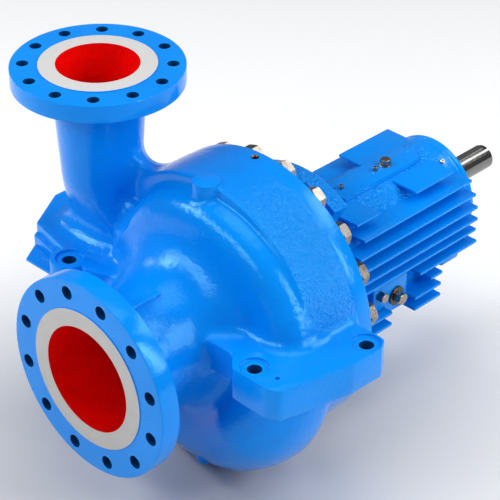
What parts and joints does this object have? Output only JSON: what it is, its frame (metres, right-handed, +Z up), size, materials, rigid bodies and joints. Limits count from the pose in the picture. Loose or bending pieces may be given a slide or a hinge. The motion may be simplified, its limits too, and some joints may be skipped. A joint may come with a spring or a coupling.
{
  "type": "centrifugal pump",
  "caption": "Bare-shaft overhung centrifugal pump with a centreline-mounted volute casing, end suction, top discharge and a finned bearing housing.",
  "frame": {"origin": "centre of the right foot's underside, where it is bolted to its pedestal", "axes": "+Y along the shaft from the suction flange to the drive end, +X to the right seen from the suction end, +Z up"},
  "size_m": [0.7879, 1.08, 0.7174],
  "materials": {
    "casing_paint": "glossy blue enamel over cast steel, red coating in the nozzles",
    "housing_paint": "glossy blue enamel over cast iron",
    "bronze": "turned bronze",
    "fitting_steel": "plain machined steel",
    "shaft_steel": "ground steel",
    "impeller_steel": "fine cast steel"
  },
  "bodies": {
    "pump": {"volute_casing": "casing_paint", "case_wear_ring": "bronze", "casing_cover": "casing_paint", "seal_gland": "fitting_steel", "bearing_housing": "housing_paint", "drive_end_cover": "housing_paint", "pump_end_cover": "housing_paint", "drive_end_isolator": "bronze", "pump_end_isolator": "bronze", "breather_plug": "fitting_steel", "top_plug_front": "fitting_steel", "top_plug_rear": "fitting_steel", "level_plug": "fitting_steel", "level_plug_washer": "fitting_steel", "side_plug": "fitting_steel"},
    "rotor": {"impeller": "impeller_steel", "impeller_nut": "fitting_steel", "shaft": "shaft_steel", "shaft_key": "shaft_steel", "shaft_sleeve": "shaft_steel"}
  },
  "joints": [
    {"name": "shaft_spin", "type": "hinge", "parent": "pump", "child": "rotor", "pos_m": [-0.305, 0, 0.004], "axis": [0, 1, 0], "continuous": true}
  ]
}
